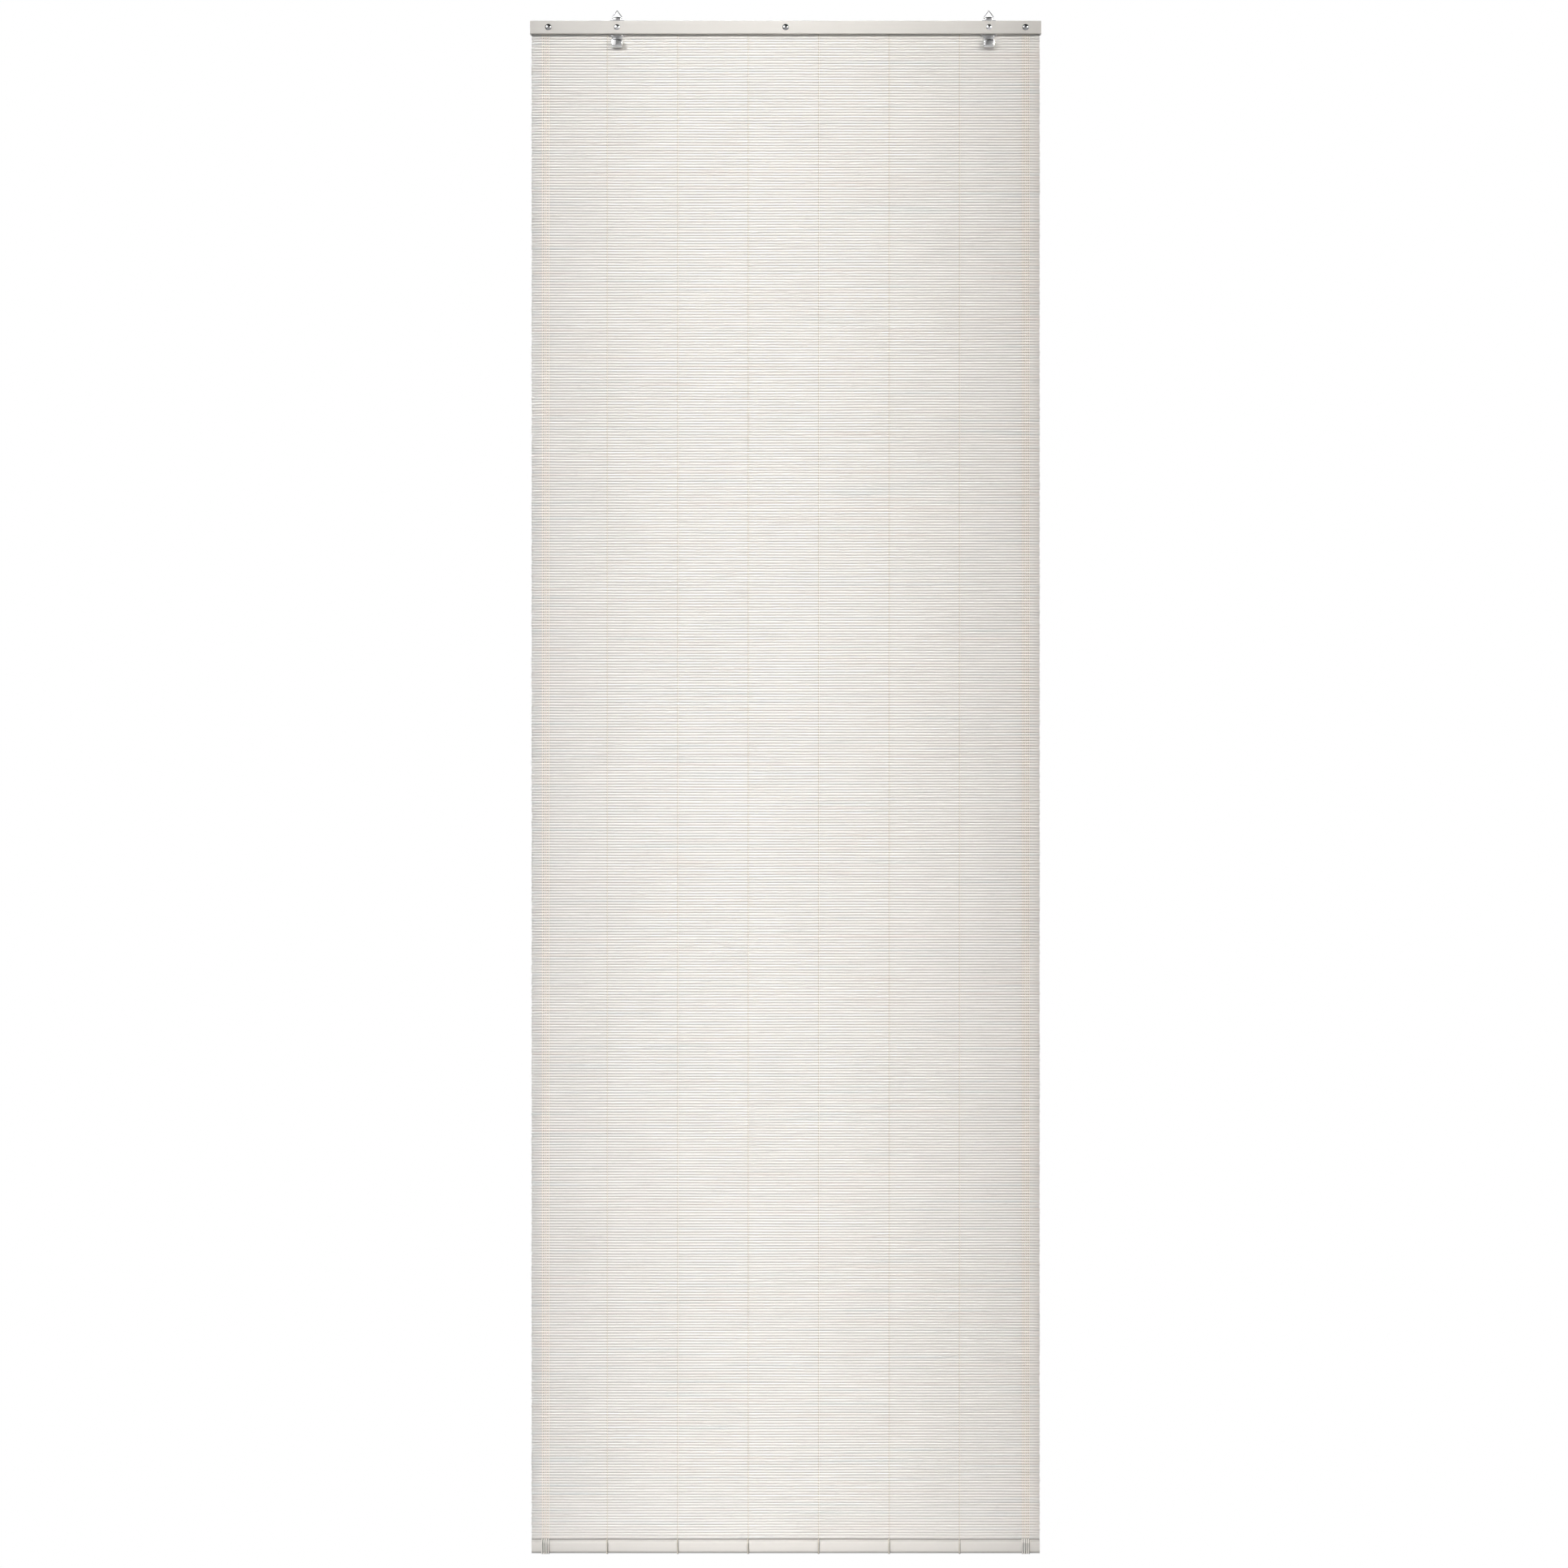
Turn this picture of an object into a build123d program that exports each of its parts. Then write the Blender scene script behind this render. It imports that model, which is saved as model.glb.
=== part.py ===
from build123d import *
from math import asin, cos, radians, sin, tan
import os

os.makedirs("parts", exist_ok=True)

# Roll-up shade of painted bamboo reeds, hanging flat and fully let down.
# The origin is the centre of the headrail's back face, the front looks along -Y and +Z is up.

# Overall size
shade_width = 600
shade_drop = 1800

# Headrail, two battens that clamp the top of the mat
headrail_height = 15.4
front_batten_depth = 4.5
back_batten_web = 3
batten_edge_radius = 1
clamped_mat_height = 3.2

# Bottom rail, a slat with rounded edges
bottom_rail_height = 15.4
bottom_rail_depth = 7
bottom_rail_round_share = 0.43

# Reed mat, one ridge for each reed
mat_side_inset = 1.5
reed_thickness = 2.4
reed_web = 1
reed_spacing = 3.217
mat_top_clearance = 0.3

# Warp strings, in a band at each edge and singly in between
string_width = 1.1
string_thickness = 0.6
string_clearance = 0.05
edge_string_count = 4
edge_string_inset = 12.6
edge_string_spacing = 2.5
middle_string_count = 6
middle_string_first_share = -0.351
middle_string_step_share = 0.1387

# Hangers, bent from sheet metal, with an eye above the headrail and a hook below it
hanger_shares = {"left": -0.33, "right": 0.398}
sheet_thickness = 1
plate_width = 17.6
plate_rise = 1.25
plate_drop = 2.2
plate_corner_radius = 1.4
plate_clearance = 0.2
lug_width = 9
eye_rise = 3.6
eye_clearance = 0.3
eye_curl = 280
hook_width = 12.4
hook_gap = 4.4
hook_drop = 16.2
lip_height = 9.5
lip_corner_radius = 1.6

# Triangle rings of bent wire
wire_diameter = 1.2
ring_base_angle = 54.5
ring_bend_radius = 1
ring_side_clearance = 0.35
ring_butt_gap = 0.3

# Domed nails, square in the shank
rail_nail_shares = (-0.4645, 0, 0.4695)
rail_nail_head_diameter = 7.6
rail_nail_head_height = 1.7
hanger_nail_head_diameter = 7
hanger_nail_head_height = 1.6
dome_band_count = 3
nail_shank_width = 2.4
nail_point_cut = 0.8
nail_hole_clearance = 0.1
nail_end_wall = 1

# Length by which cuts run past the faces they open
overrun = 1

# Places that follow from the sizes
headrail_top = headrail_height / 2
headrail_bottom = -headrail_height / 2
string_room = string_thickness + string_clearance
mat_depth = back_batten_web + string_room + reed_thickness / 2
clamp_depth = mat_depth + reed_thickness / 2 + string_room
headrail_depth = clamp_depth + front_batten_depth
mat_width = shade_width - 2 * mat_side_inset
rail_bottom = headrail_top - shade_drop
rail_top = rail_bottom + bottom_rail_height
rail_radius = bottom_rail_depth * bottom_rail_round_share
mat_top = headrail_bottom + clamped_mat_height
reed_count = round((mat_top - rail_top) / reed_spacing)
reed_pitch = (mat_top - rail_top) / reed_count
hanger_places = {side: share * shade_width for side, share in hanger_shares.items()}
rail_nail_places = [share * shade_width for share in rail_nail_shares]
nail_places = rail_nail_places + list(hanger_places.values())
nail_hole_width = nail_shank_width + 2 * nail_hole_clearance
clamp_plane = Plane.XZ.offset(clamp_depth)

# Front batten, with a pocket in its back for each hanger plate and a hole for each nail
with BuildPart() as front_batten:
    with BuildSketch(Plane.YZ) as front_section:
        with Locations((-(clamp_depth + headrail_depth) / 2, 0)):
            Rectangle(front_batten_depth, headrail_height)
        fillet(front_section.vertices().group_by(Axis.X)[0], batten_edge_radius)
    extrude(amount=shade_width / 2, both=True)
    with BuildSketch(clamp_plane):
        with Locations(*[(place, 0) for place in hanger_places.values()]):
            Rectangle(plate_width + 2 * plate_clearance, headrail_height + 2 * overrun)
    extrude(amount=sheet_thickness, mode=Mode.SUBTRACT)
    with BuildSketch(clamp_plane):
        with Locations(*[(place, 0) for place in nail_places]):
            Rectangle(nail_hole_width, nail_hole_width)
    extrude(amount=front_batten_depth + overrun, mode=Mode.SUBTRACT)
front_batten.part.label = "headrail_front_batten"
export_step(front_batten.part, "parts/headrail_front_batten.step")

# Back batten, rebated along its lower edge for the mat and its strings
with BuildPart() as back_batten:
    with BuildSketch(Plane.YZ):
        with BuildLine():
            rebate_top = mat_top + mat_top_clearance
            Polyline(
                (0, headrail_bottom),
                (0, headrail_top),
                (-clamp_depth, headrail_top),
                (-clamp_depth, rebate_top),
                (-back_batten_web, rebate_top),
                (-back_batten_web, headrail_bottom),
                close=True,
            )
        make_face()
    extrude(amount=shade_width / 2, both=True)
    with BuildSketch(clamp_plane):
        with Locations(*[(place, 0) for place in nail_places]):
            Rectangle(nail_hole_width, nail_hole_width)
    extrude(amount=nail_end_wall - clamp_depth, mode=Mode.SUBTRACT)
back_batten.part.label = "headrail_back_batten"
export_step(back_batten.part, "parts/headrail_back_batten.step")

# Reed mat, ridged on both faces
with BuildPart() as mat:
    with BuildSketch(Plane.YZ.offset(-mat_width / 2)):
        with BuildLine():
            valley = reed_web / 2
            ridge = reed_thickness / 2
            steps = range(2 * reed_count + 1)
            profile = [(ridge if step % 2 else valley, mat_top - step * reed_pitch / 2) for step in steps]
            front_line = [(-mat_depth - reach, height) for reach, height in profile]
            back_line = [(-mat_depth + reach, height) for reach, height in reversed(profile)]
            Polyline(*front_line, *back_line, close=True)
        make_face()
    extrude(amount=mat_width)
mat.part.label = "bamboo_mat"
export_step(mat.part, "parts/bamboo_mat.step")

# Bottom rail
with BuildPart() as bottom_rail:
    with BuildSketch(Plane.YZ):
        with Locations((-mat_depth, (rail_top + rail_bottom) / 2)):
            RectangleRounded(bottom_rail_depth, bottom_rail_height, rail_radius)
    extrude(amount=mat_width / 2, both=True)
bottom_rail.part.label = "bottom_rail"
export_step(bottom_rail.part, "parts/bottom_rail.step")

# Warp strings, each down the front of the mat, round the bottom rail and up the back
edge_offsets = [edge_string_inset + index * edge_string_spacing for index in range(edge_string_count)]
string_places = {f"left_edge_string_{index + 1}": offset - mat_width / 2
                 for index, offset in enumerate(edge_offsets)}
string_places |= {f"middle_string_{index + 1}":
                  mat_width * (middle_string_first_share + index * middle_string_step_share)
                  for index in range(middle_string_count)}
string_places |= {f"right_edge_string_{index + 1}": mat_width / 2 - offset
                  for index, offset in enumerate(reversed(edge_offsets))}

string_stand_off = string_clearance + string_thickness / 2
string_bend = rail_radius + string_stand_off
leg_reach = reed_thickness / 2 + string_stand_off
rail_reach = bottom_rail_depth / 2 + string_stand_off
loop_bottom = rail_bottom - string_stand_off
half_flat = string_bend * tan(radians(22.5))
corner_cut = string_bend - half_flat
slant_foot = rail_top - rail_radius + half_flat
front_leg = [
    (leg_reach, mat_top),
    (leg_reach, slant_foot + rail_reach - leg_reach),
    (rail_reach, slant_foot),
    (rail_reach, loop_bottom + corner_cut),
    (rail_reach - corner_cut, loop_bottom),
]
loop = [(-mat_depth - reach, height) for reach, height in front_leg]
loop += [(-mat_depth + reach, height) for reach, height in reversed(front_leg)]

for name, place in string_places.items():
    with BuildPart() as string:
        with BuildLine(Plane.YZ.offset(place)) as string_path:
            Polyline(*loop)
        with BuildSketch(Plane.XY.offset(mat_top)):
            with Locations((place, -mat_depth - leg_reach)):
                Rectangle(string_width, string_thickness)
        sweep(path=string_path.line, transition=Transition.RIGHT)
    string.part.label = name
    export_step(string.part, f"parts/{name}.step")

# Hangers, each a flat plate with a curled lug above and a hook bent up in front below
eye_height = headrail_top + eye_rise
eye_radius = wire_diameter / 2 + eye_clearance
eye_depth = clamp_depth - eye_radius
plate_top = headrail_top + plate_rise
plate_bottom = headrail_bottom - plate_drop
bend_radius = hook_gap / 2 + sheet_thickness
hook_bottom = headrail_bottom - hook_drop
bend_height = hook_bottom + bend_radius
lip_top = hook_bottom + lip_height
neck_front = clamp_depth + sheet_thickness
lip_back = neck_front + hook_gap
lip_front = lip_back + sheet_thickness

for side, place in hanger_places.items():
    side_plane = Plane.YZ.offset(place)
    with BuildPart() as hook:
        with BuildSketch(side_plane):
            with BuildLine():
                bend_middle = (clamp_depth + lip_front) / 2
                Line((-neck_front, 0), (-clamp_depth, 0))
                Line((-clamp_depth, 0), (-clamp_depth, bend_height))
                ThreePointArc((-clamp_depth, bend_height), (-bend_middle, hook_bottom), (-lip_front, bend_height))
                Line((-lip_front, bend_height), (-lip_front, lip_top))
                Line((-lip_front, lip_top), (-lip_back, lip_top))
                Line((-lip_back, lip_top), (-lip_back, bend_height))
                ThreePointArc((-lip_back, bend_height), (-bend_middle, hook_bottom + sheet_thickness),
                              (-neck_front, bend_height))
                Line((-neck_front, bend_height), (-neck_front, 0))
            make_face()
        extrude(amount=hook_width / 2, both=True)
        fillet(hook.edges().filter_by(Axis.Y).group_by(Axis.Z)[-2], lip_corner_radius)
    with BuildPart() as hanger:
        with BuildSketch(clamp_plane):
            with Locations((place, (plate_top + plate_bottom) / 2)):
                RectangleRounded(plate_width, plate_top - plate_bottom, plate_corner_radius)
        extrude(amount=sheet_thickness)
        with BuildSketch(side_plane):
            with BuildLine():
                eye_centre = (-eye_depth, eye_height)
                Line((-clamp_depth, 0), (-neck_front, 0))
                Line((-neck_front, 0), (-neck_front, eye_height))
                outer = CenterArc(eye_centre, eye_radius + sheet_thickness, 180, -eye_curl)
                inner = CenterArc(eye_centre, eye_radius, 180, -eye_curl)
                Line(outer @ 1, inner @ 1)
                Line((-clamp_depth, eye_height), (-clamp_depth, 0))
            make_face()
        extrude(amount=lug_width / 2, both=True)
        add(hook.part)
        with BuildSketch(clamp_plane):
            with Locations((place, 0)):
                Rectangle(nail_hole_width, nail_hole_width)
        extrude(amount=sheet_thickness, mode=Mode.SUBTRACT)
    hanger.part.label = f"{side}_hanger"
    export_step(hanger.part, f"parts/{side}_hanger.step")

# Triangle rings, the wire's ends meeting inside the eye and each corner bent in two steps
ring_turn = radians(ring_base_angle)
base_bend = radians(180 - ring_base_angle)
apex_bend = radians(2 * ring_base_angle)
ring_half_base = lug_width / 2 + ring_side_clearance + ring_bend_radius * tan(base_bend / 2)
ring_apex = ring_half_base * tan(ring_turn)
base_cut = ring_bend_radius * (tan(base_bend / 2) - tan(base_bend / 4))
apex_cut = ring_bend_radius * (tan(apex_bend / 2) - tan(apex_bend / 4))
right_half = [
    (ring_butt_gap / 2, 0),
    (ring_half_base - base_cut, 0),
    (ring_half_base - base_cut * cos(ring_turn), base_cut * sin(ring_turn)),
    (apex_cut * cos(ring_turn), ring_apex - apex_cut * sin(ring_turn)),
]
wire_line = right_half + [(-across, up) for across, up in reversed(right_half)]

for side, place in hanger_places.items():
    with BuildPart() as ring:
        with BuildLine(Plane.XZ.offset(eye_depth)) as ring_path:
            Polyline(*[(place + across, eye_height + up) for across, up in wire_line])
        with BuildSketch(Plane(origin=ring_path.line @ 0, z_dir=ring_path.line % 0)):
            Circle(wire_diameter / 2)
        sweep(path=ring_path.line, transition=Transition.RIGHT)
    ring.part.label = f"{side}_triangle_ring"
    export_step(ring.part, f"parts/{side}_triangle_ring.step")

# Nails, a domed head on the front batten and a pointed shank into the back batten
nail_sets = {
    "rail_nails": (rail_nail_places, rail_nail_head_diameter / 2, rail_nail_head_height),
    "hanger_nails": (list(hanger_places.values()), hanger_nail_head_diameter / 2, hanger_nail_head_height),
}
shank_length = headrail_depth - nail_end_wall - nail_hole_clearance

for name, (places, head_radius, head_height) in nail_sets.items():
    dome_radius = (head_radius**2 + head_height**2) / (2 * head_height)
    dome_angle = asin(head_radius / dome_radius)
    dome_middle = dome_radius - headrail_depth - head_height
    turns = [dome_angle * band / dome_band_count for band in range(dome_band_count + 1)]
    dome = [(dome_middle - dome_radius * cos(turn), dome_radius * sin(turn)) for turn in turns]
    with BuildPart() as nails:
        with BuildSketch(Plane.XZ.offset(headrail_depth)):
            with Locations(*[(place, 0) for place in places]):
                Rectangle(nail_shank_width, nail_shank_width)
        extrude(amount=-shank_length)
        chamfer(nails.edges().group_by(Axis.Y)[-1], nail_point_cut)
        for place in places:
            with BuildSketch(Plane.YZ.offset(place)):
                with BuildLine():
                    Polyline(*dome, (-headrail_depth, 0), close=True)
                make_face()
            revolve(axis=Axis((place, 0, 0), (0, 1, 0)))
    nails.part.label = name
    export_step(nails.part, f"parts/{name}.step")
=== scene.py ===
import math

import bpy
import numpy as np
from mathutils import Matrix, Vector


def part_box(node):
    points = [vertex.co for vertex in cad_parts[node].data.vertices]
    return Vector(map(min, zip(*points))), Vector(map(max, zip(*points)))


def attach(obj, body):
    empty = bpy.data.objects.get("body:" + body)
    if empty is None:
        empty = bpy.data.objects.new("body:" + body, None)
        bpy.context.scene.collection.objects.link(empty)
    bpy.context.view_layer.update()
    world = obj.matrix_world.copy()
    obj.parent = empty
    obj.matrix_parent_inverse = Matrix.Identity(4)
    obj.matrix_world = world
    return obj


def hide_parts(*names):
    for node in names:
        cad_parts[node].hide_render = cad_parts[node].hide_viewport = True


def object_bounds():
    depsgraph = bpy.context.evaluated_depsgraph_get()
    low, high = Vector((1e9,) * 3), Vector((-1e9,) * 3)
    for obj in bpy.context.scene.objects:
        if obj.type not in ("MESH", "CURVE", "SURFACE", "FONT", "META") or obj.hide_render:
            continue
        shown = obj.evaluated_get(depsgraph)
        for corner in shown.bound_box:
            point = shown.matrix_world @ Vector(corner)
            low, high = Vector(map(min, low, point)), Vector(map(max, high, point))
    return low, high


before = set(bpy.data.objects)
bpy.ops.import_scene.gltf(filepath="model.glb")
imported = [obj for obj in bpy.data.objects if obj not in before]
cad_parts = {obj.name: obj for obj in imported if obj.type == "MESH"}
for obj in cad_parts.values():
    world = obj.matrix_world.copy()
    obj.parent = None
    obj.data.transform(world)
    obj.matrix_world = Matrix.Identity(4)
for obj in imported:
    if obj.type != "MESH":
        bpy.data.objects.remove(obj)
cad_low, cad_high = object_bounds()

# Painted bamboo shade, seen square on from the room. Lengths are in metres.

# Photograph and camera, the sensor in millimetres
photo_size = 1932
photo_scale = 0.0009526
rail_middle_pixel = 968
rail_top_pixel = 25.4
camera_distance = 4
sensor_width = 36

# Axes, and the points on a bend of a path and on a rounded corner of a section
x_axis = (1, 0, 0)
y_axis = (0, 1, 0)
bend_points = 8
corner_points = 4

# Reeds, their waves of sway given by length, shift from reed to reed and share
reed_pitch = 0.0032098
reed_lift = 0.00094
reed_overlap = 0.00006
reed_sides = 10
reed_stations = 31
reed_end_jitter = 0.0003
reed_depth_jitter = 0.00006
reed_thickness_jitter = 0.05
reed_sway = 0.00011
sway_waves = ((0.55, 0.013, 1), (0.31, -0.021, 0.8), (0.17, 0.034, 0.5), (0.09, -0.4, 0.3))
last_reed_set_back = 0.0018
last_reed_reach = 0.0005
mat_pieces = 4
reed_seed = 8357

# Warp strings, each a pair of yarns that cross between the reeds
yarn_radius = 0.0004
yarn_sides = 4
yarn_steps = 4
yarn_reach = 0.0005
yarn_sink = 0.00015

# Loops of the strings round the bottom rail, each a yarn with a thin dark one beside it as painted shadow
loop_yarn_radius = 0.0006
loop_yarn_offset = -0.0004
loop_shade_radius = 0.0003
loop_shade_offset = 0.0006
loop_sides = 6
loop_lift = 0.0007
loop_rise = 0.0012
rail_round_share = 0.43

# Hangers, the curl of the eye in degrees
sheet_thickness = 0.001
sheet_edge_radius = 0.0004
sheet_flat_points = 12
plate_set_back = 0.00005
plate_rise = 0.00125
plate_drop = 0.0022
plate_corner_radius = 0.0014
plate_edge_share = 0.3
lug_width = 0.009
lug_crown = 0.00055
lug_bulge = 0.0003
eye_radius = 0.0009
eye_curl = 280
eye_stations = 36
hook_width = 0.0124
hook_bend_share = 0.999
hook_bend_points = 14
hook_crown = 0.0007
hook_crown_run = 0.003
hook_crown_stations = 5
lip_height = 0.0095
lip_lean = 0.0008
lip_corner_radius = 0.0016
lip_corner_share = 0.999
lip_corner_stations = 8

# Triangle rings, their base angle in degrees
wire_radius = 0.0006
wire_sides = 14
ring_base_angle = 54.5
ring_bend_radius = 0.001
ring_bend_points = 12
ring_side_clearance = 0.00035
ring_butt_gap = 0.0003

# Nails, each row by the width and height of its heads and the places between its outer two
nail_rows = {"rail_nails": (0.0076, 0.0017, (0,)), "hanger_nails": (0.007, 0.0016, ())}
nail_sides = 32
nail_dome_rings = 12
nail_dome_start = 0.01
nail_dome_inset = 0.3
nail_rim = 0.0005
nail_rim_steps = ((0.07, 0.7), (0, 0.35), (0, 0))
nail_shank_width = 0.0024
nail_shank_radius = 0.0003
nail_shank_corner_points = 2

# Noise, and the part of its range over which a tone goes from dark to pale
noise_roughness = 0.6
tone_start = 0.3
tone_end = 0.7

# Satin off-white paint on wood. Bumps are given by strength and depth.
wood_tones = ((0.722, 0.7, 0.668), (0.757, 0.734, 0.701))
wood_grain_scale = (9, 420, 420)
wood_grain_detail = 6
wood_cloud_scale = (7, 30, 30)
wood_cloud_detail = 3
wood_cloud_share = 0.4
wood_roughness = (0.42, 0.52)
wood_bump = (0.25, 0.0002)
wood_specular = 0.25
headrail_paleness = 0.985
# The darkening towards the batten ends is painted shade, for light that falls off away from the middle
headrail_end_shading = 0.13
# The bottom rail's paint is paler than the headrail's: painted light making up for less light at the bottom
# of the shade
rail_lit_paleness = 1.08
rail_end_shading = 0.045
# Painted shade on the bottom rail, by height from its underside to its upper edge: dark underneath and
# darker along the upper edge
rail_painted_shade = (
    (0, 0.42), (0.07, 0.48), (0.17, 0.82), (0.3, 0.91), (0.55, 0.98), (0.86, 1), (0.94, 0.88), (1, 0.82))

# Thin off-white paint on bamboo, and the dark grey painted shade on the last reed
reed_tones = (
    (0.28, (0.795, 0.8, 0.783)), (0.42, (0.845, 0.825, 0.798)),
    (0.58, (0.85, 0.825, 0.795)), (0.74, (0.835, 0.79, 0.757)))
reed_patch_scale = (5, 7.3)
reed_patch_detail = 2
reed_fibre_tone = (0.95, 1.03)
reed_roughness = (0.42, 0.56)
reed_specular = 0.4
joints_per_metre = 3.1
joint_span = (0.002, 0.012)
joint_darkening = 0.035
fibre_scale = (26, 1900, 1900)
fibre_detail = 3
fibre_bump = (0.3, 0.0001)
shaded_reed_tones = ((0.33, 0.315, 0.29), (0.41, 0.395, 0.37))
shaded_reed_roughness = 0.7

# Cotton yarn, dark and pale tones
cotton_tones = {
    "edge_cotton": ((0.86, 0.763, 0.655), (0.94, 0.857, 0.765)),
    # Paler, more neutral copy of the edge yarn for its loops on the rail: partly painted light on the same
    # yarn
    "lit_loop_cotton": ((0.9, 0.87, 0.825), (0.97, 0.945, 0.905)),
    "middle_cotton": ((0.66, 0.605, 0.515), (0.73, 0.69, 0.605)),
    # Dark grey yarn beside each loop: painted shadow of the loop on the rail
    "painted_shadow_cotton": ((0.2, 0.19, 0.172), (0.26, 0.247, 0.225)),
}
cotton_fibre_scale = (2600, 2600, 900)
cotton_fibre_detail = 3
cotton_bump = (0.5, 0.0001)
cotton_roughness = 0.85
cotton_sheen = 0.25

# Bright nickel, its colour and the range of its roughness
platings = {
    "plated_sheet": ((0.74, 0.74, 0.745), (0.14, 0.24)),
    "plated_wire": ((0.68, 0.68, 0.69), (0.12, 0.2)),
    # The rail nails' plating is darker than the hanger nails': painted shade for darker reflections in their
    # heads
    "rail_nail_shaded_plate": ((0.42, 0.42, 0.425), (0.06, 0.12)),
    "hanger_nail_plate": ((0.76, 0.76, 0.765), (0.06, 0.12)),
}
plating_dulling = 0.94
plating_cloud_scale = (260, 260, 260)
plating_cloud_detail = 3
plating_bump = (0.03, 0.0003)

# Floor, paler to the eye than in the light that it throws back
floor_drop = 1
floor_half_width = 2.5
floor_cloud_scale = (3, 3, 3)
floor_cloud_detail = 4
floor_seen = (0.85, 0.88)
floor_bounce = (0.43, 0.47)
floor_roughness = 0.7

# Studio, with a faint glow for matt surfaces. What metal mirrors is pale low on the right, dark above
# and white behind.
ambient_low = 0.05
ambient_high = 0.2
studio_lean_right = 0.5
studio_lean_down = 0.85
studio_span = (-0.5, 0.3)
studio_dark = 0.02
studio_pale = 0.65
backdrop_span = (0.5, 0.95)
white = (1, 1, 1, 1)

# Each light by its aim across and up, the side and height it comes from in degrees, its distance, its width,
# its height, the spread of its beam in degrees, its power in watts and its colour
white_light = (1, 1, 1)
warm_light = (1, 0.965, 0.92)
lights = {
    "left_key": ((-0.1, -1.3), (-36, 21), 3.2, 0.6, 3.3, 16.6, 3.9, white_light),
    "right_key": ((0.06, -1.3), (43, 13), 3.2, 0.6, 3.3, 16.6, 3.6, warm_light),
    "left_fill": ((0, -0.2), (-38, 26), 5, 4.8, 4.4, 180, 69, white_light),
    "right_fill": ((0, -0.2), (54, 16), 5, 1.5, 2.2, 180, 13, warm_light),
    "left_back": ((0, -0.9), (-150, 35), 5, 4, 4, 180, 140, white_light),
    "right_back": ((0, -0.9), (150, 35), 5, 4, 4, 180, 140, white_light),
}

# Places taken from the CAD model
mat_low, mat_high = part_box("bamboo_mat")
rail_low, rail_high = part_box("bottom_rail")
batten_low, batten_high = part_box("headrail_front_batten")
mat_depth = (mat_low.y + mat_high.y) / 2
reed_reach = (mat_high.y - mat_low.y) / 2
reed_top = mat_high.z + reed_lift
reed_count = math.floor((reed_top - mat_low.z) / reed_pitch)
rail_reach = (rail_high.y - rail_low.y) / 2
rail_radius = (rail_high.y - rail_low.y) * rail_round_share
string_nodes = [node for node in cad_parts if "_string_" in node]
edge_nodes = [node for node in string_nodes if "_edge_" in node]

rng = np.random.default_rng(reed_seed)
sway_starts = rng.uniform(0, 2 * math.pi, len(sway_waves))


# Shaping

def circle(radius, sides):
    """Points of a round section, counter-clockwise."""
    turns = np.arange(sides) * 2 * math.pi / sides
    return radius * np.column_stack((np.cos(turns), np.sin(turns)))


def rounded_rectangle(width, height, radius, steps=corner_points, flats=0):
    """Points of a rectangle with rounded corners, counter-clockwise, with some on its wide flats."""
    turns = np.linspace(0, math.pi / 2, steps)
    runs = []
    for quarter, (right, up) in enumerate(((1, 1), (-1, 1), (-1, -1), (1, -1))):
        centre = (right * (width / 2 - radius), up * (height / 2 - radius))
        angles = turns + quarter * math.pi / 2
        runs.append(centre + radius * np.column_stack((np.cos(angles), np.sin(angles))))
        if flats and right == up:
            across = np.linspace(right, -right, flats + 2)[1:-1] * (width / 2 - radius)
            runs.append(np.column_stack((across, np.full(flats, up * height / 2))))
    return np.concatenate(runs)


def rounded_path(points, radius, steps=bend_points):
    """The flat path through these points with its corners bent to this radius."""
    points = np.asarray(points, float)
    path = [points[0]]
    for before, corner, after in zip(points, points[1:], points[2:]):
        back = (before - corner) / np.linalg.norm(before - corner)
        ahead = (after - corner) / np.linalg.norm(after - corner)
        half_angle = math.acos(float(np.clip(back @ ahead, -1, 1))) / 2
        middle = (back + ahead) / np.linalg.norm(back + ahead)
        centre = corner + middle * radius / math.sin(half_angle)
        start = corner + back * radius / math.tan(half_angle) - centre
        end = corner + ahead * radius / math.tan(half_angle) - centre
        sweep_angle = math.pi - 2 * half_angle
        for share in np.linspace(0, 1, steps):
            near = math.sin((1 - share) * sweep_angle) * start + math.sin(share * sweep_angle) * end
            path.append(centre + near / math.sin(sweep_angle))
    path.append(points[-1])
    return np.array(path)


def sweep(path, section, across):
    """A closed shell: the section carried along the path, its first direction lying along across."""
    path = np.asarray(path, float)
    sections = np.broadcast_to(section, (len(path), *np.shape(section)[-2:]))
    along = np.gradient(path, axis=0)
    along /= np.linalg.norm(along, axis=1, keepdims=True)
    side = across - along * (along @ np.asarray(across, float))[:, None]
    side /= np.linalg.norm(side, axis=1, keepdims=True)
    up = np.cross(along, side)
    rings = path[:, None] + sections[..., :1] * side[:, None] + sections[..., 1:] * up[:, None]
    stations, count = rings.shape[:2]
    first = np.arange(stations - 1)[:, None] * count + np.arange(count)
    second = np.arange(stations - 1)[:, None] * count + np.roll(np.arange(count), -1)
    sides = np.stack((first, second, second + count, first + count), axis=-1).reshape(-1, 4)
    caps = [np.arange(count)[::-1], np.arange(count) + (stations - 1) * count]
    return rings.reshape(-1, 3), sides, caps


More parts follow.
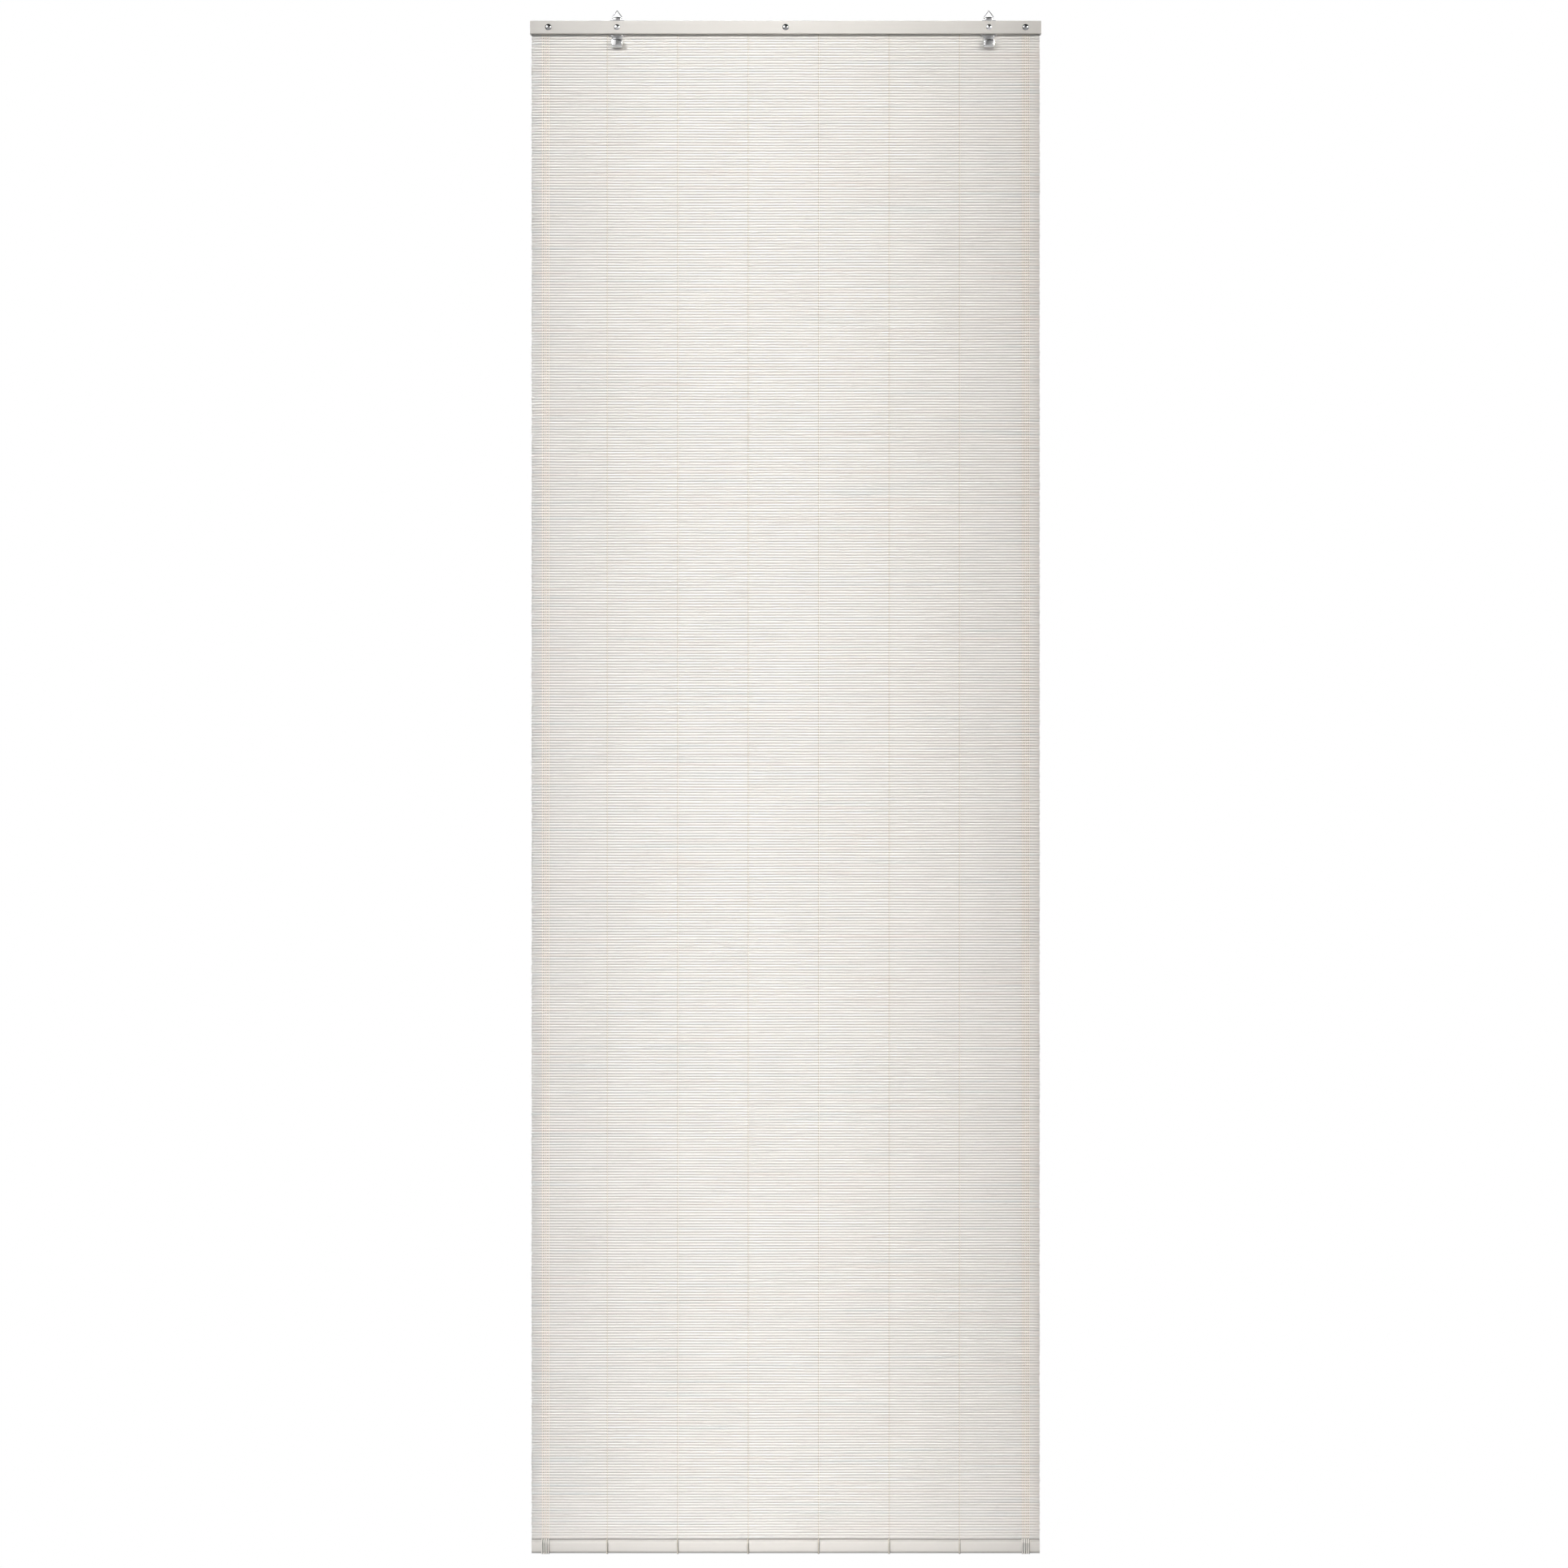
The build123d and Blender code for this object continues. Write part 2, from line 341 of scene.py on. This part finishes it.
def piece(name, shells, material, body, slot, *nodes):
    """One visible piece made of closed shells, riding on a body in place of CAD nodes."""
    points, faces, smooth = [], [], []
    for shell_points, sides, caps in shells:
        start = sum(len(block) for block in points)
        faces += (sides + start).tolist() + [(cap + start).tolist() for cap in caps]
        smooth += [True] * len(sides) + [False] * len(caps)
        points.append(shell_points)
    mesh = bpy.data.meshes.new(name)
    mesh.from_pydata(np.concatenate(points).tolist(), [], faces)
    mesh.polygons.foreach_set("use_smooth", smooth)
    mesh.materials.append(material)
    made = bpy.data.objects.new(name, mesh)
    bpy.context.scene.collection.objects.link(made)
    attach(made, body)
    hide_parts(*nodes)
    return made


# Shader nodes

def add_node(tree, kind, inputs=None, **settings):
    """A shader node with its settings, its inputs given as values or as links."""
    made = tree.nodes.new(kind)
    for key, value in settings.items():
        setattr(made, key, value)
    for socket, value in (inputs or {}).items():
        if isinstance(value, bpy.types.NodeSocket):
            tree.links.new(value, made.inputs[socket])
        else:
            made.inputs[socket].default_value = value
    return made


def new_shader(name):
    """A material with its node tree and its surface shader."""
    material = bpy.data.materials.new(name)
    material.use_nodes = True
    tree = material.node_tree
    return material, tree, tree.nodes["Principled BSDF"]


def object_axes(tree):
    """The object's own coordinates, one for each axis."""
    place = add_node(tree, "ShaderNodeTexCoord").outputs["Object"]
    return add_node(tree, "ShaderNodeSeparateXYZ", {"Vector": place}).outputs


def stretched_noise(tree, scale, detail):
    """Noise on the object's own coordinates, stretched by a scale for each axis."""
    place = add_node(tree, "ShaderNodeTexCoord").outputs["Object"]
    spread = add_node(tree, "ShaderNodeMapping", {"Vector": place, "Scale": scale}).outputs["Vector"]
    noise = add_node(tree, "ShaderNodeTexNoise", {
        "Vector": spread, "Scale": 1, "Detail": detail, "Roughness": noise_roughness})
    return noise.outputs["Fac"]


def ramp(tree, factor, stops):
    """A colour ramp from stops of position and colour."""
    made = add_node(tree, "ShaderNodeValToRGB", {"Fac": factor})
    while len(made.color_ramp.elements) < len(stops):
        made.color_ramp.elements.new(1)
    for element, (position, colour) in zip(made.color_ramp.elements, stops):
        element.position = position
        element.color = (*colour, 1)
    return made.outputs["Color"]


def two_tones(tree, noise, dark, pale):
    """A colour that goes from dark to pale with a noise."""
    return ramp(tree, noise, ((tone_start, dark), (tone_end, pale)))


def grey(tone):
    """A neutral colour."""
    return (tone, tone, tone)


def between(tree, value, low, high, span=(0, 1), interpolation="LINEAR"):
    """A value that goes from low to high while another one crosses a span."""
    made = add_node(tree, "ShaderNodeMapRange", {
        "Value": value, "From Min": span[0], "From Max": span[1], "To Min": low, "To Max": high},
        interpolation_type=interpolation)
    return made.outputs["Result"]


def math_node(tree, operation, *values):
    """The result of one sum on values or links."""
    return add_node(tree, "ShaderNodeMath", dict(enumerate(values)), operation=operation).outputs[0]


def colour_node(tree, operation, inputs):
    """The result of one sum on a colour."""
    return add_node(tree, "ShaderNodeVectorMath", inputs, operation=operation).outputs["Vector"]


def bump(tree, height, strength, distance):
    """A normal that follows a height."""
    made = add_node(tree, "ShaderNodeBump", {"Height": height, "Strength": strength, "Distance": distance})
    return made.outputs["Normal"]


# Materials

def painted_wood(name, paleness, end_shading, painted_shade_span=None):
    """Satin off-white paint on a faint grain, darker towards its ends as painted shade, and with painted
    shade over a span of heights.
    """
    material, tree, surface = new_shader(name)
    axes = object_axes(tree)
    grain = stretched_noise(tree, wood_grain_scale, wood_grain_detail)
    cloud = stretched_noise(tree, wood_cloud_scale, wood_cloud_detail)
    tone = math_node(
        tree, "ADD", math_node(tree, "MULTIPLY", grain, 1 - wood_cloud_share),
        math_node(tree, "MULTIPLY", cloud, wood_cloud_share))
    colour = two_tones(tree, tone, *wood_tones)
    if painted_shade_span:
        # Painted shade by height: dark under the rail and darker along its upper edge
        rise = between(tree, axes["Z"], 0, 1, painted_shade_span)
        rail_shade = ramp(tree, rise, [(share, grey(level)) for share, level in rail_painted_shade])
        colour = colour_node(tree, "MULTIPLY", {0: colour, 1: rail_shade})
    # Painted shade, darker towards the ends
    outward = math_node(tree, "DIVIDE", math_node(tree, "ABSOLUTE", axes["X"]), cad_high.x)
    end_shade = math_node(tree, "MULTIPLY", math_node(tree, "POWER", outward, 2), end_shading)
    shade = math_node(tree, "SUBTRACT", paleness, end_shade)
    toned = colour_node(tree, "SCALE", {0: colour, "Scale": shade})
    tree.links.new(toned, surface.inputs["Base Color"])
    tree.links.new(between(tree, grain, *wood_roughness), surface.inputs["Roughness"])
    tree.links.new(bump(tree, grain, *wood_bump), surface.inputs["Normal"])
    surface.inputs["Specular IOR Level"].default_value = wood_specular
    return material


def painted_reed():
    """Thin off-white paint on bamboo, with a tint for each reed, long fibres and faint joints."""
    material, tree, surface = new_shader("painted_reed")
    index = add_node(tree, "ShaderNodeAttribute", attribute_name="reed_index").outputs["Fac"]
    along = object_axes(tree)["X"]
    along_scale, index_scale = reed_patch_scale
    spread = add_node(tree, "ShaderNodeCombineXYZ", {
        "X": math_node(tree, "MULTIPLY", along, along_scale),
        "Y": math_node(tree, "MULTIPLY", index, index_scale)}).outputs["Vector"]
    patch = add_node(tree, "ShaderNodeTexNoise", {"Vector": spread, "Scale": 1, "Detail": reed_patch_detail})
    colour = ramp(tree, patch.outputs["Fac"], reed_tones)
    fibre = stretched_noise(tree, fibre_scale, fibre_detail)
    shift = add_node(tree, "ShaderNodeTexWhiteNoise", {"W": index}, noise_dimensions="1D").outputs["Value"]
    joint_count = math_node(tree, "MULTIPLY", along, joints_per_metre)
    joint_run = math_node(tree, "FRACT", math_node(tree, "ADD", joint_count, shift))
    joint_gap = math_node(tree, "ABSOLUTE", math_node(tree, "SUBTRACT", joint_run, 0.5))
    joint = between(tree, joint_gap, 1, 0, joint_span, "SMOOTHSTEP")
    shade = math_node(
        tree, "SUBTRACT", between(tree, fibre, *reed_fibre_tone),
        math_node(tree, "MULTIPLY", joint, joint_darkening))
    toned = colour_node(tree, "SCALE", {0: colour, "Scale": shade})
    tree.links.new(toned, surface.inputs["Base Color"])
    tree.links.new(between(tree, fibre, *reed_roughness), surface.inputs["Roughness"])
    height = math_node(tree, "ADD", fibre, joint)
    tree.links.new(bump(tree, height, *fibre_bump), surface.inputs["Normal"])
    surface.inputs["Specular IOR Level"].default_value = reed_specular
    return material


def shade_dark_reed():
    """Dark grey on the thin reed tucked in behind the bottom rail's edge: painted shade for the dark line
    above the rail.
    """
    material, tree, surface = new_shader("shade_dark_reed")
    fibre = stretched_noise(tree, fibre_scale, fibre_detail)
    tree.links.new(two_tones(tree, fibre, *shaded_reed_tones), surface.inputs["Base Color"])
    tree.links.new(bump(tree, fibre, *fibre_bump), surface.inputs["Normal"])
    surface.inputs["Roughness"].default_value = shaded_reed_roughness
    return material


def warp_cotton(name):
    """Cotton yarn, matt and fibrous."""
    material, tree, surface = new_shader(name)
    fibre = stretched_noise(tree, cotton_fibre_scale, cotton_fibre_detail)
    tree.links.new(two_tones(tree, fibre, *cotton_tones[name]), surface.inputs["Base Color"])
    tree.links.new(bump(tree, fibre, *cotton_bump), surface.inputs["Normal"])
    surface.inputs["Roughness"].default_value = cotton_roughness
    surface.inputs["Sheen Weight"].default_value = cotton_sheen
    return material


def bright_nickel(name):
    """Bright plating with a slightly uneven polish."""
    material, tree, surface = new_shader(name)
    colour, roughness = platings[name]
    cloud = stretched_noise(tree, plating_cloud_scale, plating_cloud_detail)
    dulled = tuple(plating_dulling * part for part in colour)
    tree.links.new(two_tones(tree, cloud, dulled, colour), surface.inputs["Base Color"])
    tree.links.new(between(tree, cloud, *roughness), surface.inputs["Roughness"])
    tree.links.new(bump(tree, cloud, *plating_bump), surface.inputs["Normal"])
    surface.inputs["Metallic"].default_value = 1
    return material


def floor_paint():
    """Plain pale floor, with a faint cloud."""
    material, tree, surface = new_shader("floor_paint")
    cloud = stretched_noise(tree, floor_cloud_scale, floor_cloud_detail)
    seen = two_tones(tree, cloud, *map(grey, floor_seen))
    bounce = two_tones(tree, cloud, *map(grey, floor_bounce))
    rays = add_node(tree, "ShaderNodeLightPath").outputs
    view = math_node(tree, "MAXIMUM", rays["Is Camera Ray"], rays["Is Glossy Ray"])
    tone = add_node(tree, "ShaderNodeMixRGB", {"Fac": view, "Color1": bounce, "Color2": seen}).outputs[0]
    tree.links.new(tone, surface.inputs["Base Color"])
    surface.inputs["Roughness"].default_value = floor_roughness
    return material


# Battens and bottom rail, which keep their CAD solids

def paint_battens():
    """Paint on the two battens of the headrail and on the bottom rail."""
    headrail_paint = painted_wood("headrail_paint", headrail_paleness, headrail_end_shading)
    rail_paint = painted_wood("rail_paint", rail_lit_paleness, rail_end_shading, (rail_low.z, rail_high.z))
    paints = {
        "headrail_front_batten": headrail_paint,
        "headrail_back_batten": headrail_paint,
        "bottom_rail": rail_paint,
    }
    for node, paint in paints.items():
        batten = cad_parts[node]
        batten.data.materials.clear()
        batten.data.materials.append(paint)


# Reed mat

def reed(index, depth, reach):
    """One slightly crooked reed, rounded in section and cut square at both ends."""
    ends = np.array((mat_low.x, mat_high.x)) + rng.uniform(-reed_end_jitter, reed_end_jitter, 2)
    along = np.linspace(*ends, reed_stations)
    sway = sum(
        share * np.sin(2 * math.pi * (along / length + index * shift) + start)
        for (length, shift, share), start in zip(sway_waves, sway_starts))
    height = reed_top - (index + 0.5) * reed_pitch + reed_sway * sway
    outline = circle(1, reed_sides) * (reach, reed_pitch / 2 + reed_overlap)
    path = np.column_stack((along, np.full(reed_stations, depth), height))
    return sweep(path, outline, y_axis)


def uneven_reed(index):
    """A reed that stands a little to the front or back and is a little thinner than the thickest."""
    depth = mat_depth + rng.uniform(-reed_depth_jitter, reed_depth_jitter)
    reach = reed_reach * (1 - rng.uniform(0, reed_thickness_jitter))
    return reed(index, depth, reach)


def make_mat():
    """The reeds in a few pieces, and the thin reed in the gap above the bottom rail, dark grey as painted
    shade.
    """
    paint = painted_reed()
    ends = np.linspace(0, reed_count, mat_pieces + 1).round().astype(int)
    for number, (first, last) in enumerate(zip(ends, ends[1:]), 1):
        shells = [uneven_reed(index) for index in range(first, last)]
        reeds = piece(f"reeds_{number}", shells, paint, "shade", "painted_reed", "bamboo_mat")
        indices = np.repeat(np.arange(first, last), reed_stations * reed_sides)
        attribute = reeds.data.attributes.new("reed_index", "FLOAT", "POINT")
        attribute.data.foreach_set("value", indices.astype(np.float32))
    last_reed = reed(reed_count, mat_depth + last_reed_set_back, last_reed_reach)
    piece("last_reed", [last_reed], shade_dark_reed(), "shade", "painted_reed", "bamboo_mat")


# Warp strings

def crossing_yarns(place, turn):
    """Two yarns that pass in turn before and behind each reed, twisted one way or the other."""
    phases = np.arange(reed_count * yarn_steps + 1) / yarn_steps * math.pi
    heights = reed_top - phases / math.pi * reed_pitch
    reach = reed_reach + yarn_radius - yarn_sink
    shells = []
    for hand in (1, -1):
        path = np.column_stack((
            place + turn * hand * yarn_reach * np.cos(phases),
            mat_depth - hand * reach * np.sin(phases),
            heights))
        shells.append(sweep(path, circle(yarn_radius, yarn_sides), x_axis))
    return shells


def rail_loop(place, radius):
    """A yarn laid round the bottom rail, from the front of the mat to its back."""
    front = [
        (-reed_reach, rail_high.z + loop_rise),
        (-reed_reach - loop_lift, rail_high.z),
        (-rail_reach - loop_lift, rail_high.z - rail_radius),
        (-rail_reach - loop_lift, rail_low.z - loop_lift / 2)]
    corners = front + [(-across, height) for across, height in reversed(front)]
    line = rounded_path(corners, (rail_radius + loop_lift) / 2)
    path = np.column_stack((np.full(len(line), place), mat_depth + line[:, 0], line[:, 1]))
    return sweep(path, circle(radius, loop_sides), x_axis)


def make_strings():
    """The strings and their loops, with the edge strings' pale loops and the dark yarns of painted shadow
    kept apart.
    """
    cottons = {name: warp_cotton(name) for name in cotton_tones}
    edge_loops = []
    painted_shadow_loops = []
    for node in string_nodes:
        low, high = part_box(node)
        place = (low.x + high.x) / 2
        turn = 1 if int(node[-1]) % 2 else -1
        shells = crossing_yarns(place, turn)
        loop = rail_loop(place + loop_yarn_offset, loop_yarn_radius)
        if node in edge_nodes:
            cotton = cottons["edge_cotton"]
            edge_loops.append(loop)
        else:
            cotton = cottons["middle_cotton"]
            shells.append(loop)
        piece(f"{node}_yarns", shells, cotton, "shade", "warp_string", node)
        painted_shadow_loops.append(rail_loop(place + loop_shade_offset, loop_shade_radius))
    piece("edge_loop_yarns", edge_loops, cottons["lit_loop_cotton"], "shade", "warp_string", *edge_nodes)
    piece("painted_shadow_loop_yarns", painted_shadow_loops, cottons["painted_shadow_cotton"], "shade", "warp_string", *string_nodes)


# Hangers

def strip(path, place, width, crowns, widths=1):
    """A strip of sheet metal with softened, crowned edges, bent along a flat path of depths and heights."""
    section = rounded_rectangle(width, sheet_thickness, sheet_edge_radius, flats=sheet_flat_points)
    sections = np.repeat(section[None], len(path), axis=0)
    sections[..., 1] += np.reshape(crowns, (-1, 1)) * (2 * sections[..., 0] / width) ** 2
    sections[..., 0] *= np.reshape(widths, (-1, 1))
    return sweep(np.column_stack((np.full(len(path), place), path)), sections, x_axis)


def hook(place, neck, low):
    """The tongue that comes down behind the batten and turns up in front into a lip."""
    lip = low.y + sheet_thickness / 2
    bottom = low.z + sheet_thickness / 2
    top = low.z + lip_height
    shoulder = batten_low.z - plate_drop
    corners = [(neck, 0), (neck, bottom), (lip, bottom), (lip, top - lip_corner_radius)]
    bends = rounded_path(corners, (neck - lip) / 2 * hook_bend_share, hook_bend_points)
    drops = np.linspace(0, hook_crown_run, hook_crown_stations)
    neck_line = np.column_stack((np.full(len(drops), neck), shoulder - drops))
    tip = np.linspace(0, 1, lip_corner_stations)[1:]
    tip_line = np.column_stack((lip + lip_lean * tip**2, top - lip_corner_radius * (1 - tip)))
    line = np.concatenate((bends[:1], neck_line, bends[1:], tip_line))
    inset = lip_corner_radius * (1 - np.sqrt(1 - (lip_corner_share * tip) ** 2))
    widths = np.ones(len(line))
    widths[-len(tip):] -= 2 * inset / hook_width
    turned = np.clip((neck - line[:, 0]) / (neck - lip), 0, 1)
    lowered = np.clip((shoulder - line[:, 1]) / hook_crown_run, 0, 1)
    return strip(line, place, hook_width, hook_crown * lowered * (2 * turned - 1), widths)


def lug(place, neck, high):
    """The tongue that comes up behind the batten and curls back into an eye."""
    centre_depth = neck + eye_radius + sheet_thickness / 2
    centre_height = high.z - eye_radius - sheet_thickness
    radius = eye_radius + sheet_thickness / 2 + lug_bulge
    turns = math.pi - np.radians(np.linspace(0, eye_curl, eye_stations))
    curl = np.column_stack((centre_depth + radius * np.cos(turns), centre_height + radius * np.sin(turns)))
    line = np.concatenate(([(neck - lug_bulge, 0)], curl))
    return strip(line, place, lug_width, lug_crown)


def plate(place, back, width):
    """The flat plate held between the battens, with ears above and below."""
    top = batten_high.z + plate_rise
    bottom = batten_low.z - plate_drop
    front = sheet_thickness - plate_set_back
    edge = sheet_edge_radius
    soft = plate_edge_share * edge
    insets = (edge, soft, 0, 0, soft, edge)
    depths = (0, soft, edge, front - edge, front - soft, front)
    sections = [
        rounded_rectangle(width - 2 * inset, top - bottom - 2 * inset, plate_corner_radius)
        for inset in insets]
    path = [(place, back - depth, (top + bottom) / 2) for depth in depths]
    return sweep(path, sections, x_axis)


def make_hangers():
    """The two stamped hangers, held behind the front batten."""
    plating = bright_nickel("plated_sheet")
    back = batten_high.y
    neck = back - sheet_thickness / 2
    for side in ("left", "right"):
        low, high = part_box(f"{side}_hanger")
        place = (low.x + high.x) / 2
        shells = [plate(place, back, high.x - low.x), hook(place, neck, low), lug(place, neck, high)]
        piece(f"{side}_hanger_metal", shells, plating, "shade", "plated_sheet", f"{side}_hanger")


# Triangle rings

def ring(low, high):
    """A wire bent into a triangle, its ends butted in the middle of the base."""
    place = (low.x + high.x) / 2
    depth = (low.y + high.y) / 2
    base = low.z + wire_radius
    slope = math.radians(ring_base_angle)
    half_base = lug_width / 2 + ring_side_clearance + ring_bend_radius / math.tan(slope / 2)
    apex = base + half_base * math.tan(slope)
    end = ring_butt_gap / 2
    corners = [(end, base), (half_base, base), (0, apex), (-half_base, base), (-end, base)]
    line = rounded_path(corners, ring_bend_radius, ring_bend_points)
    path = np.column_stack((place + line[:, 0], np.full(len(line), depth), line[:, 1]))
    return sweep(path, circle(wire_radius, wire_sides), y_axis)


def make_rings():
    """The two rings, each turning in the eye of its hanger."""
    plating = bright_nickel("plated_wire")
    for side in ("left", "right"):
        wire = ring(*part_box(f"{side}_triangle_ring"))
        piece(f"{side}_ring_wire", [wire], plating, f"{side}_ring", "plated_wire", f"{side}_triangle_ring")


# Domed nails

def nail(place, head_width, head_height, tip):
    """A domed head with a softened rim on the batten's face, and a square shank behind it."""
    face = batten_low.y
    reach = head_width / 2 - nail_dome_inset * nail_rim
    rise = head_height - nail_rim
    dome_radius = (reach**2 + rise**2) / (2 * rise)
    turns = np.linspace(nail_dome_start, math.asin(reach / dome_radius), nail_dome_rings)
    radii = list(dome_radius * np.sin(turns))
    heights = list(head_height - dome_radius * (1 - np.cos(turns)))
    for inset, height in nail_rim_steps:
        radii.append(head_width / 2 - inset * nail_rim)
        heights.append(height * nail_rim)
    head_path = [(place, face - height, 0) for height in heights]
    head = sweep(head_path, [circle(radius, nail_sides) for radius in radii], x_axis)
    shank_section = rounded_rectangle(
        nail_shank_width, nail_shank_width, nail_shank_radius, nail_shank_corner_points)
    shank = sweep([(place, face, 0), (place, tip, 0)], shank_section, x_axis)
    return [head, shank]


def make_nails():
    """The nails of the rail and those in front of the hangers."""
    row_platings = {
        "rail_nails": bright_nickel("rail_nail_shaded_plate"),
        "hanger_nails": bright_nickel("hanger_nail_plate"),
    }
    for node, (head_width, head_height, inner_places) in nail_rows.items():
        low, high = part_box(node)
        places = [low.x + head_width / 2, *inner_places, high.x - head_width / 2]
        shells = []
        for place in places:
            shells += nail(place, head_width, head_height, high.y)
        piece(f"{node}_metal", shells, row_platings[node], "shade", "plated_nail", node)


# Stage, light and camera

def make_floor():
    """A plain pale floor below the shade."""
    height = cad_low.z - floor_drop
    corners = [
        (right * floor_half_width, back * floor_half_width, height)
        for right, back in ((-1, -1), (1, -1), (1, 1), (-1, 1))]
    mesh = bpy.data.meshes.new("floor")
    mesh.from_pydata(corners, [], [(0, 1, 2, 3)])
    mesh.materials.append(floor_paint())
    floor = bpy.data.objects.new("floor", mesh)
    bpy.context.scene.collection.objects.link(floor)


def white_background(tree, strength):
    """A white sky of some strength."""
    return add_node(tree, "ShaderNodeBackground", {"Color": white, "Strength": strength}).outputs[0]


def mixed_shader(tree, factor, first, second):
    """The second shader where the factor is one, and the first elsewhere."""
    return add_node(tree, "ShaderNodeMixShader", {0: factor, 1: first, 2: second}).outputs[0]


def make_studio():
    """A white backdrop, a faint glow, and a room for polished metal to mirror."""
    world = bpy.data.worlds.new("studio")
    world.use_nodes = True
    bpy.context.scene.world = world
    tree = world.node_tree
    rays = add_node(tree, "ShaderNodeLightPath").outputs
    heading = add_node(tree, "ShaderNodeTexCoord").outputs["Generated"]
    towards = add_node(tree, "ShaderNodeSeparateXYZ", {"Vector": heading}).outputs
    lean = math_node(
        tree, "SUBTRACT", math_node(tree, "MULTIPLY", towards["X"], studio_lean_right),
        math_node(tree, "MULTIPLY", towards["Z"], studio_lean_down))
    front = between(tree, lean, studio_dark, studio_pale, studio_span, "SMOOTHSTEP")
    room = between(tree, towards["Y"], front, 1, backdrop_span, "SMOOTHSTEP")
    glow = between(tree, towards["Z"], ambient_low, ambient_high, (-1, 1))
    lit = mixed_shader(
        tree, rays["Is Glossy Ray"], white_background(tree, glow), white_background(tree, room))
    straight = math_node(tree, "MAXIMUM", rays["Is Camera Ray"], rays["Is Transmission Ray"])
    whole = mixed_shader(tree, straight, lit, white_background(tree, 1))
    tree.links.new(whole, tree.nodes["World Output"].inputs["Surface"])


def soft_light(name, aim, bearing, distance, width, height, spread, power, colour):
    """A rectangular studio light that faces a point on the shade and stays out of the picture."""
    data = bpy.data.lights.new(name, "AREA")
    data.shape = "RECTANGLE"
    data.size = width
    data.size_y = height
    data.spread = math.radians(spread)
    data.energy = power
    data.color = colour
    light = bpy.data.objects.new(name, data)
    side, rise = (math.radians(angle) for angle in bearing)
    outward = Vector((math.sin(side) * math.cos(rise), -math.cos(side) * math.cos(rise), math.sin(rise)))
    light.location = Vector((aim[0], mat_depth, aim[1])) + distance * outward
    light.rotation_euler = (-outward).to_track_quat("-Z", "Y").to_euler()
    light.visible_camera = False
    bpy.context.scene.collection.objects.link(light)


def make_camera():
    """The camera square on to the shade, with the photograph's framing."""
    data = bpy.data.cameras.new("camera")
    data.sensor_width = sensor_width
    data.lens = sensor_width * camera_distance / (photo_scale * photo_size)
    camera = bpy.data.objects.new("camera", data)
    camera.location = (
        (photo_size / 2 - rail_middle_pixel) * photo_scale,
        batten_low.y - camera_distance,
        batten_high.z - (photo_size / 2 - rail_top_pixel) * photo_scale)
    camera.rotation_euler = (math.pi / 2, 0, 0)
    bpy.context.scene.collection.objects.link(camera)
    bpy.context.scene.camera = camera
    bpy.context.scene.view_settings.view_transform = "Standard"


paint_battens()
make_mat()
make_strings()
make_hangers()
make_rings()
make_nails()
make_floor()
make_studio()
for name, settings in lights.items():
    soft_light(name, *settings)
make_camera()
